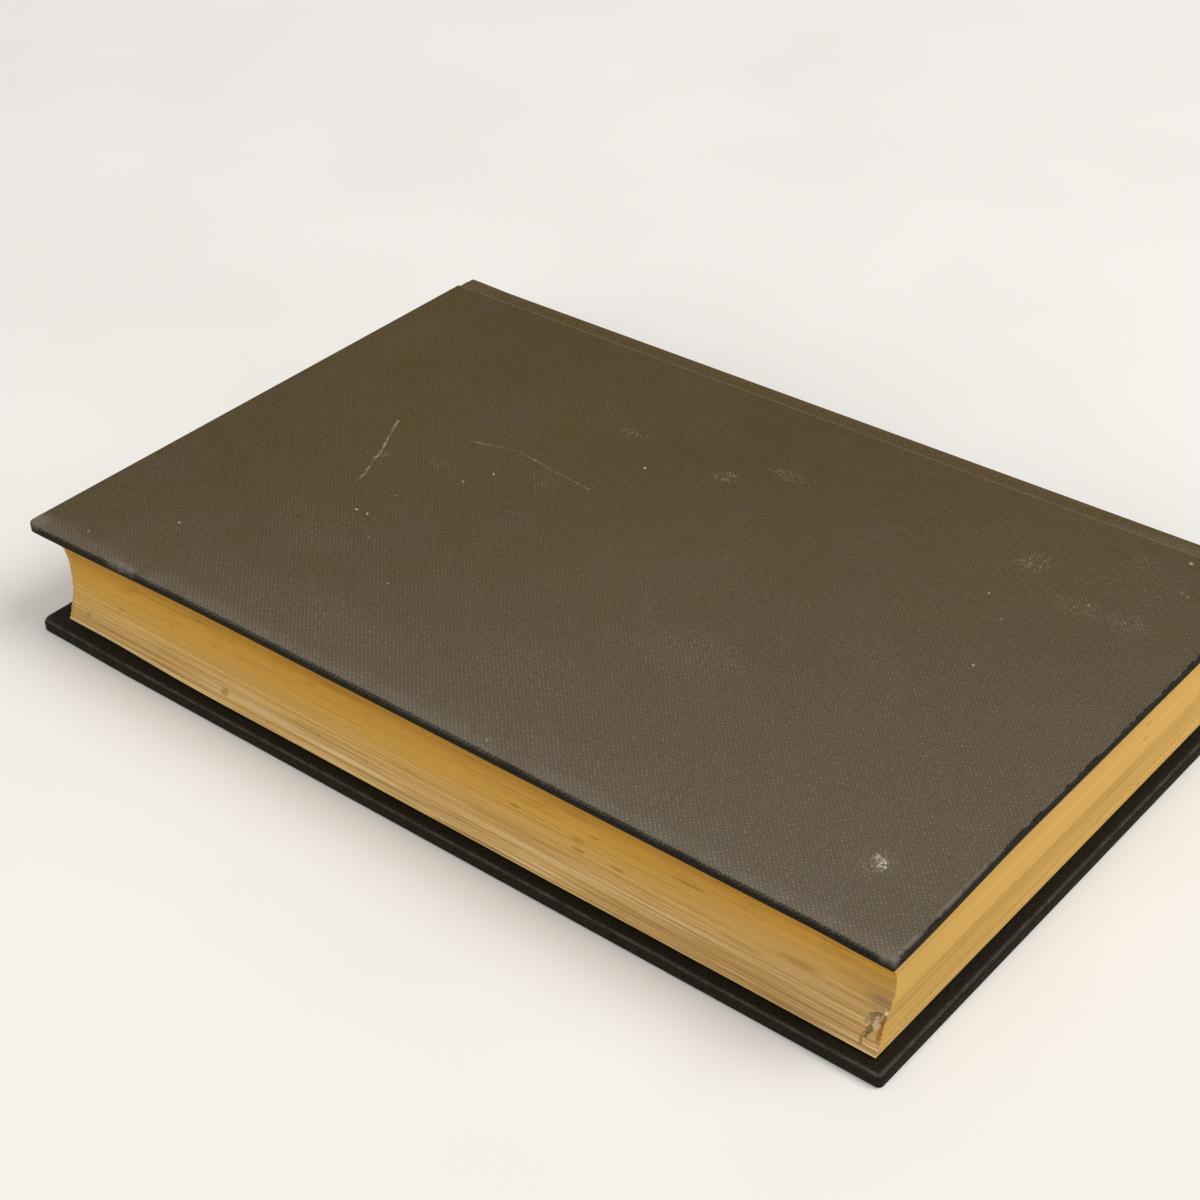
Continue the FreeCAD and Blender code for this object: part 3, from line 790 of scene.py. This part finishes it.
def page_edges():
    net = Net("page_edges", Specular_IOR_Level=0.12)
    point = net.place()
    x, y, z = net.split(point)
    head = net.mask("head")
    leaf = net.noise(net.vector(x * 0.012, y * 0.010, z * 3.0), 1.0, 4.0, 0.65, (0.32, 0.68))
    hair = net.noise(net.vector(x * 0.03, y * 0.022, z * 6.5), 1.0, 2.0, 0.6)
    band = net.noise(net.vector(x * 0.008, y * 0.008, z * 0.55), 1.0, 3.0)
    cloud = net.noise(net.vector(x * 0.05, y * 0.03, z * 0.16), 1.0, 4.0)
    height = (z - pages_low[2]) / (pages_high[2] - pages_low[2])
    # Darker and oranger towards the top: partly the paper's own tone, partly painted shade of the
    # front cover's overhang.
    edge = net.colour(height.step(0.02, 0.45), (0.66, 0.44, 0.155), (0.60, 0.345, 0.062))
    edge = net.colour(height.step(0.42, 0.95), edge, (0.475, 0.235, 0.017))
    near = y.step(10.0, 116.0) * height.step(0.66, 0.30)
    edge = net.colour(near * 0.5, edge, (0.46, 0.32, 0.145))
    crown = net.colour(band, (0.61, 0.37, 0.098), (0.67, 0.41, 0.115))
    crown = net.colour(x.step(-60.0, 78.0) * 0.75, (0.74, 0.455, 0.125), crown)
    base = net.colour(head, edge, crown)
    line = net.noise(net.vector(x * 0.016, y * 0.013, z * 3.1), 1.0, 3.0, 0.8, (0.36, 0.64))
    base = net.colour(leaf * (0.40 - head * 0.26), base, (0.38, 0.21, 0.055))
    low = height.step(0.52, 0.06)
    base = net.colour(low * line.step(0.50, 0.95) * (0.62 - head * 0.45), base, (0.78, 0.61, 0.36))
    base = net.colour(low * line.step(0.40, 0.0) * (0.46 - head * 0.35), base, (0.31, 0.185, 0.072))
    base = net.colour(low * hair.step(0.42, 0.15) * (0.62 - head * 0.50), base, (0.26, 0.155, 0.062))
    high = height.step(0.60, 0.95)
    base = net.colour(high * line.step(0.50, 0.10) * (0.75 - head * 0.6), base, (0.27, 0.125, 0.010))
    mottle = net.noise(net.vector(x * 0.1, y * 0.10, z * 0.75), 1.0, 4.0, 0.7)
    base = net.colour(height.step(0.35, 0.75) * mottle.step(0.55, 0.95) * (0.50 - head * 0.45),
                      base, (0.36, 0.175, 0.020))
    base = net.colour(high * hair.step(0.5, 0.2) * (0.5 - head * 0.4), base, (0.28, 0.14, 0.015))
    base = net.colour(band * cloud * (0.45 - head * 0.35), base, (0.40, 0.225, 0.055))
    base = net.colour(hair.step(0.30, 0.05) * leaf * (0.4 - head * 0.2), base, (0.22, 0.12, 0.04))
    spots = []
    for py, pz, ry, rz in FOXING:
        off_y, off_z = (y + (cloud - 0.5) * 2.0 - py) / ry, (z - pz) / rz
        spots.append((off_y * off_y + off_z * off_z).step(1.3, 0.0))
    foxed = strongest(spots) * (1.0 - head)
    base = net.colour(foxed * (0.30 + 0.35 * leaf), base, (0.24, 0.115, 0.02))
    flecks, chosen = net.cells(net.vector(x * 0.06, y * 0.06, z * 0.30 + 3.1), 1.0)
    fleck = flecks.step(0.10, 0.04) * chosen.step(0.6, 0.75) * (0.25 + 0.4 * head)
    base = net.colour(fleck, base, (0.20, 0.11, 0.04))
    dirt = net.mask("dirt")
    base = net.colour(dirt * (0.35 + 0.65 * hair), base, (0.20, 0.135, 0.07))
    # The torn corner: a stain, a shadow, a lifted flap, two slits and a pale knob of paper.
    grain = net.noise(point, 1.3, 3.0, 0.6)
    ragged = net.noise(point, 0.9, 4.0, 0.7)
    tear = net.vector(y + (grain - 0.5) * 1.3, z + (ragged - 0.5) * 1.5)
    stain = patch_mask(net, tear, (116.7, 8.6), (1.7, 4.2)).step(0.0, 0.45)
    base = net.colour(stain * (1.0 - head * 0.75) * 0.85, base, (0.27, 0.130, 0.022))
    body = 1.0 - head
    shade = patch_mask(net, tear, (114.0, 8.7), (1.6, 2.1)).step(0.1, 0.8)
    base = net.colour(shade * body * 0.8, base, (0.23, 0.165, 0.090))
    flap = patch_mask(net, tear, (114.7, 8.2), (0.95, 1.35)).step(0.15, 0.8)
    base = net.colour(flap * body * (0.35 + 0.5 * hair), base, (0.50, 0.40, 0.26))
    slit = body * segment_mask(net, tear, (113.0, 4.9), (113.8, 7.4), 0.40).most(
        segment_mask(net, tear, (113.1, 9.5), (115.3, 10.2), 0.32))
    base = net.colour(slit * 0.85, base, (0.10, 0.060, 0.028))
    knob = patch_mask(net, net.vector(y, z), (116.1, 10.5), (0.75, 0.7))
    base = net.colour(knob * (0.8 - head * 0.8), base, (0.66, 0.55, 0.38))
    relief = leaf * 0.6 + hair * 0.5
    return net.finish(base, 0.85, relief, 0.08, 0.55)


page_finish = page_edges()

# %% [markdown]
# ## The pages
# The block of pages is closed: a fore-edge that curves in, flat head and tail, and a rounded
# back. In the photograph the fore-edge is hollower towards the head, and the tail's fore
# corner stands 3 mm further in than the head's. Leaves are never cut quite level, so each
# height gets its own small random offset, and the last leaves at the bottom stand apart. The
# fore corner at the head is torn and stained.

# %% The block of pages
def around(y, z, middle, size):
    """1 in the middle of an oval spot of the fore-edge, fading to 0 outside it."""
    return np.exp(-((y - middle[0]) / size[0]) ** 2 - ((z - middle[1]) / size[1]) ** 2)


def block_tables():
    """Four walls over (height, along) and two lids. The back is an arc of a circle; the
    fore-edge is a line through measured places that changes evenly from tail to head; every
    height is pushed out by its own offset."""
    low, high = pages_low, pages_high
    tall = high[2] - low[2]
    half = (high[1] - low[1]) / 2
    rng = np.random.default_rng(7)
    rows = 170
    t = np.linspace(0, 1, rows)
    leaf = rng.normal(0, 0.030, rows) + soften(rng.normal(0, 0.16, rows), 0.25, 0.13)
    leaf += rng.normal(0, 0.09, rows) * (t < 0.16)
    leaf_head = rng.normal(0, 0.018, rows) + soften(rng.normal(0, 0.10, rows), 0.3, 0.13)
    z = low[2] + tall * t

    at_tail = [(3.45, 77.8), (5.2, 76.9), (7.2, 76.2), (9.3, 75.6), (11.5, 75.1), (14.6, 74.9),
               (17.2, 74.9), (19.5, 75.1), (21.0, 75.4), (23.0, 76.1), (24.5, 76.8), (25.35, 77.2)]
    at_head = [(3.45, 78.0), (5.0, 77.1), (7.0, 76.1), (10.3, 74.6), (12.5, 73.5), (14.6, 72.5),
               (16.5, 72.1), (18.5, 72.3), (20.5, 73.1), (22.5, 74.6), (24.0, 76.0), (25.35, 77.2)]
    lines = [soften(np.interp(z, *np.transpose(line)), 0.6, tall / rows)[:, None]
             for line in (at_tail, at_head)]
    round_deep = 6.25
    radius = ((tall / 2) ** 2 + round_deep ** 2) / (2 * round_deep)
    spine = low[0] + radius - np.sqrt(radius ** 2 - (z - low[2] - tall / 2) ** 2)

    ys = np.concatenate([np.linspace(-half, half - 10, 136)[:-1],
                         np.linspace(half - 10, half, 74)])
    yy, zz = np.meshgrid(ys, z, indexing="xy")
    share = (yy + half) / (2 * half)
    fore = lines[0] * (1 - share) + lines[1] * share
    lowest = np.exp(-((zz - low[2]) / 1.7) ** 2)
    fore = fore + 0.95 * lowest * ramp(share, 0.04, 0.22)
    drift = 0.035 * np.sin(yy * 0.13 + 9 * zz) + 0.045 * np.sin(yy * 0.031 + 4.1 * zz)
    rough = 1 + 0.35 * np.sin(7.1 * zz + 1.7 * yy) * np.sin(3.3 * yy - 2.1 * zz)
    chewed = around(yy, zz, (half - 0.1, 8.3), (1.0, 2.1))
    slit = around(yy, zz - 2.6 * (yy - half + 3.1), (half - 3.1, 6.8), (0.25, 1.9))
    slit += around(yy, zz - 0.5 * (yy - half + 2.4), (half - 2.4, 9.65), (1.1, 0.24))
    slit += 0.8 * around(yy, zz, (half - 1.05, 8.3), (0.16, 0.9))
    flap = around(yy, zz, (half - 2.05, 8.15), (0.75, 0.95))
    knob = around(yy, zz, (half - 0.5, 10.4), (0.45, 0.40))
    shift = -0.75 * chewed * rough - 0.5 * slit + 0.40 * flap + 0.30 * knob
    # The outermost leaves stay where the endpapers lie.
    calm = ramp(t, 0, 0.02)[:, None] * ramp(1 - t, 0, 0.02)[:, None]
    shift += leaf[:, None] * (0.7 + 0.3 * np.cos(yy * 0.05 + 3 * zz)) + drift
    edge_x = fore + shift * calm
    grow = np.clip((np.abs(yy) - half + 4) / 4, 0, 1) ** 2
    wall_y = yy + grow * np.sign(yy) * (leaf_head * calm[:, 0])[:, None]
    wall_y = wall_y + 0.45 * lowest * grow * (yy > 0)
    frayed = rng.normal(0, 0.10, rows) * (0.4 + 0.6 * (np.abs(z - 8.5) < 4.5))
    wall_y -= np.abs(frayed)[:, None] * np.exp(-((yy - half) / 0.5) ** 2) * calm
    wall_y -= 0.45 * chewed * (yy > half - 0.6) * calm
    tail_in = TAIL_SLANT * (1 - share)
    fore_wall = np.stack([edge_x, wall_y + tail_in, zz], -1)
    fore_masks = {
        "head": 0.0,
        "dirt": np.clip(0.85 * around(yy, zz, (half - 2.0, 12.3), (3.0, 1.1))
                        + 0.40 * around(yy, zz, (half, 13.8), (8.0, 3.0)), 0, 1),
    }
    tables = [{"points": fore_wall, "masks": fore_masks}]
    plain = {"head": 0.0, "dirt": 0.0}
    back_wall = np.stack([spine[:, None] + 0 * yy, wall_y, zz], -1)
    tables.append({"points": back_wall, "flip": True, "masks": plain})
    s = np.concatenate([np.linspace(0, 0.95, 40)[:-1], np.linspace(0.95, 1, 24)])
    for column, flip in ((-1, True), (0, False)):
        outer, inner = fore_wall[:, column, :], back_wall[:, column, :]
        lid = inner[:, None, :] * (1 - s[None, :, None]) + outer[:, None, :] * s[None, :, None]
        tables.append({"points": lid, "flip": flip, "masks": {**plain, "head": 1.0}})
    for row, flip in ((0, True), (-1, False)):
        ends = np.stack([back_wall[row], fore_wall[row]])
        tables.append({"points": ends, "flip": flip, "masks": {**plain, "head": 0.5}})
    return tables


pages = mesh_from("pages", block_tables(), page_finish)
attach(pages, "book_block")
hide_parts("text_block")

# %% [markdown]
# ## Finish: endpapers
# The endpapers are strong cream paper, browned at the margins where air reached it, with a
# faint laid texture and soft brown spots.

# %% Endpaper
def endpaper():
    net = Net("endpaper", Specular_IOR_Level=0.25)
    point = net.place()
    x, y, z = net.split(point)
    cloud = net.noise(point, 0.02, 4.0, 0.6)
    fibre = net.noise(net.vector(x * 2.0, y * 0.5, z), 1.0, 3.0, 0.7)
    base = net.colour(cloud, (0.66, 0.57, 0.40), (0.72, 0.64, 0.47))
    middle = (pages_low[0] + pages_high[0]) / 2
    margin_x = abs(x - middle).step(50.0, 77.0)
    margin_y = abs(y).step(92.0, 118.0)
    browned = margin_x.most(margin_y)
    base = net.colour(browned * 0.55, base, (0.46, 0.32, 0.16))
    cut = x.step(76.9, 77.1).most(abs(y).step(116.3, 116.55))
    upper = z.step(13.0, 16.0)
    # The cut edges high up, under the front cover, are painted dark orange as painted shade, like
    # the top of the pages.
    base = net.colour(cut * upper * 0.8, base, (0.50, 0.29, 0.06))
    base = net.colour(cut * (1.0 - upper) * 0.8, base, (0.46, 0.39, 0.29))
    spots, chosen = net.cells(point, 0.05)
    fox = (spots + (fibre - 0.5) * 0.03).step(0.13, 0.02) * chosen.step(0.5, 0.7)
    base = net.colour(fox * 0.5, base, (0.40, 0.25, 0.11))
    base = net.colour(fibre * 0.12, base, (0.50, 0.42, 0.27))
    return net.finish(base, 0.8, fibre, 0.03, 0.5)


endpaper_finish = endpaper()

# %% [markdown]
# ## The pasted endpapers
# A pasted endpaper starts at the pages beside the fold, crosses the joint and covers the
# inner face of the board, with a few millimetres of cloth left bare round it. Over the cloth's
# folded edges it lies a little proud and sinks to the board inside them.

# %% Pasted endpapers
def knots(*spans):
    """A row of numbers from (start, end, spacing) spans."""
    parts = [np.linspace(a, b, max(2, int(round((b - a) / s)) + 1))[:-1] for a, b, s in spans]
    return np.concatenate(parts + [[spans[-1][1]]])


def pasted_sheet(side):
    """Height over (across, along): rim height, less a smooth step where the turn-ins end,
    and pressed down to the cloth at its own edges."""
    cover = covers[side]
    joint, wide, half = cover["joint"], cover["wide"], cover["half"]
    start, end, side_y = -joint + 0.95, wide - 4.4, half - 4.0
    xs = knots((start, 0.6, 0.25), (0.6, 3.0, 0.6), (3.0, end - 14, 6.0),
               (end - 14, end - 9, 0.5), (end - 9, end - 0.5, 1.5), (end - 0.5, end, 0.1))
    inner = side_y - 11.5
    ys = knots((0, inner - 2.5, 6.0), (inner - 2.5, inner + 2.5, 0.5),
               (inner + 2.5, side_y - 0.5, 1.5), (side_y - 0.5, side_y, 0.1))
    ys = np.concatenate([-ys[:0:-1], ys])
    x, y = np.meshgrid(xs, ys, indexing="ij")
    past_x = ramp(x, wide - 15.9, wide - 14.1)
    past_y = ramp(np.abs(y), half - 15.9, half - 14.1)
    sunk = (1 - np.maximum(past_x, past_y)) * ramp(x, 0.3, 1.8)
    z = 2.99 - 0.30 * sunk + 0.24 * (1 - ramp(x, start, start + 1.6))
    rim = np.minimum.reduce([end - x, side_y - np.abs(y)])
    z = z - 0.17 * (1 - np.clip(rim / 0.25, 0, 1))
    bow = WEAR[side]["bow"] * (1 - (y / half) ** 2) * ramp(x, 20, wide) * 0.1
    # The tail was trimmed with the pages, so it runs in towards the fore-edge.
    tail = 1 if side == "front" else -1
    y = y - tail * TAIL_SLANT * np.clip(x / wide, 0, 1) * (y * tail + side_y) / (2 * side_y)
    return {"points": place(side, np.stack([x, y, z - bow], -1)), "flip": True}


for side in ("front", "back"):
    piece = mesh_from(side + "_pasted_endpaper", [pasted_sheet(side)], endpaper_finish)
    bend_over_joint(piece, side)
    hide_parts(side + "_pastedown")

# %% [markdown]
# ## The free endpapers
# The first and the last leaf lie on the block of pages, whose fore-edge was rounded with them:
# the front one ends a little behind the cover's edge, so no light passes between them.

# %% Free endpapers
def free_sheet(node, set_back):
    """A closed sheet: two faces over (across, along) and the cut edges between them."""
    low, high = box_mm(node)
    xs = np.linspace(low[0], high[0] - set_back, 80)
    ys = np.linspace(low[1], high[1], 110)
    x, y = np.meshgrid(xs, ys, indexing="ij")
    if node == "back_flyleaf":
        # It has slipped out with the lowest leaves.
        x = x + 0.9 * (x - low[0]) / (high[0] - low[0]) * ramp(y, -107, -66)
    y = y + TAIL_SLANT * (x - low[0]) / (high[0] - low[0]) * (high[1] - y) / (high[1] - low[1])
    faces = [np.stack([x, y, 0 * x + height], -1) for height in (low[2], high[2])]
    tables = [{"points": faces[0], "flip": True}, {"points": faces[1]}]
    for edge, flip in (((0, slice(None)), False), ((-1, slice(None)), True),
                       ((slice(None), 0), True), ((slice(None), -1), False)):
        tables.append({"points": np.stack([f[edge] for f in faces]), "flip": not flip})
    return tables


for side, set_back in (("front", 0.95), ("back", 0.35)):
    piece = mesh_from(side + "_free_endpaper", free_sheet(side + "_flyleaf", set_back),
                      endpaper_finish)
    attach(piece, "book_block")
    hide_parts(side + "_flyleaf")

# %% [markdown]
# ## Headbands
# A headband is a cord wrapped in thread, glued across the end of the spine. Its tube follows
# the arc of the spine, and its radius swells with each turn of the thread.

# %% Headbands
def band_finish():
    net = Net("headband_thread", Sheen_Weight=0.2)
    u, v = net.flat(60.0)
    stripe = (u * (math.pi / 1.6)).sin().step(-0.1, 0.1)
    thread = abs((u * (math.pi / 0.4)).sin())
    grime = net.noise(net.place(), 0.5, 3.0)
    base = net.colour(stripe, (0.52, 0.44, 0.30), (0.13, 0.10, 0.08))
    base = net.colour(grime * 0.5, base, (0.20, 0.15, 0.10))
    return net.finish(base, 0.75, thread, 0.08, 0.8)


def band_table(node):
    """A tube along an arc: the arc has the spine's own centre, the tube's radius is 0.8 mm
    and swells by a twentieth with each thread."""
    low, high = box_mm(node)
    half = (high[2] - low[2]) / 2
    middle = (high[2] + low[2]) / 2
    tall = TALL / 2 - 1.8
    radius = (tall ** 2 + SPINE_ROUND ** 2) / (2 * SPINE_ROUND)
    centre = cad_low[0] / MM + radius
    ring = centre - low[0] - 0.85
    reach = math.asin(min(0.98, (half - 0.6) / ring))
    turn = np.linspace(-reach, reach, 160)
    around = np.linspace(0, 2 * math.pi, 17)
    taper = np.sqrt(np.clip((reach + 0.02 - np.abs(turn)) / 0.06, 0.02, 1))
    thick = 0.8 * taper * (1 + 0.05 * np.abs(np.sin(turn * ring * math.pi / 0.4)))
    out = ring + thick[:, None] * np.cos(around)
    y = (high[1] + low[1]) / 2 + thick[:, None] * np.sin(around)
    points = np.stack([centre - out * np.cos(turn)[:, None], y,
                       middle + out * np.sin(turn)[:, None]], -1)
    flat = np.stack(np.broadcast_arrays((turn * ring / 60.0)[:, None] + 0.5, around / 7.0), -1)
    caps = [{"points": np.stack([points[k], points[k].mean(0) + 0 * points[k]]), "flip": k == 0}
            for k in (0, -1)]
    return [{"points": points, "map": flat, "flip": False}, *caps]


band_cloth = band_finish()
for node in ("headband", "tailband"):
    piece = mesh_from(node + "_cord", band_table(node), band_cloth)
    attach(piece, "book_block")
    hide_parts(node)

# %% [markdown]
# ## Finishes inside the case
# The boards, the card spine and the linings hardly show, but they are seen when a cover is
# open or when the case is looked into from an end.

# %% Board, card and linings
def fibre_board(name, one, two, flecks):
    """Pressed waste fibre: clouds of two greys with darker flecks and short hairs."""
    net = Net(name, Specular_IOR_Level=0.2)
    point = net.place()
    cloud = net.noise(point, 0.15, 4.0, 0.7)
    x, y, z = net.split(point)
    hair = net.noise(net.vector(x * 3.0, y * 0.6, z * 3.0), 1.0, 3.0)
    base = net.colour(cloud, one, two)
    base = net.colour(hair.step(0.6, 0.95) * 0.6, base, flecks)
    return net.finish(base, 0.85, hair, 0.05, 0.6)


def woven_lining():
    """Open cotton weave, stiff with old glue: crossing thread waves about 1 mm apart."""
    net = Net("lining_cloth", Specular_IOR_Level=0.3)
    point = net.place()
    x, y, z = net.split(point)
    across = abs((y * (math.pi / 1.0)).sin())
    along = abs((z * (math.pi / 1.0)).sin())
    open_part = across.most(along).step(0.75, 0.5)
    glue = net.noise(point, 0.1, 4.0)
    base = net.colour(glue, (0.62, 0.55, 0.40), (0.50, 0.38, 0.22))
    base = net.colour(open_part * 0.7, base, (0.25, 0.17, 0.09))
    return net.finish(base, 0.7, across.most(along), 0.15, 0.8)


finishes = {
    "front_board": fibre_board(
        "millboard", (0.30, 0.25, 0.17), (0.38, 0.32, 0.23), (0.16, 0.12, 0.08)),
    "spine_inlay": fibre_board(
        "spine_card", (0.36, 0.29, 0.19), (0.44, 0.36, 0.25), (0.2, 0.15, 0.1)),
    "spine_lining": fibre_board(
        "lining_paper", (0.30, 0.20, 0.11), (0.38, 0.27, 0.16), (0.18, 0.11, 0.06)),
    "spine_mull": woven_lining(),
}
finishes["back_board"] = finishes["front_board"]
for node, finish in finishes.items():
    obj = frame["nodes"][node]
    obj.data.materials.clear()
    obj.data.materials.append(finish)
print("finished solids:", sorted(finishes))
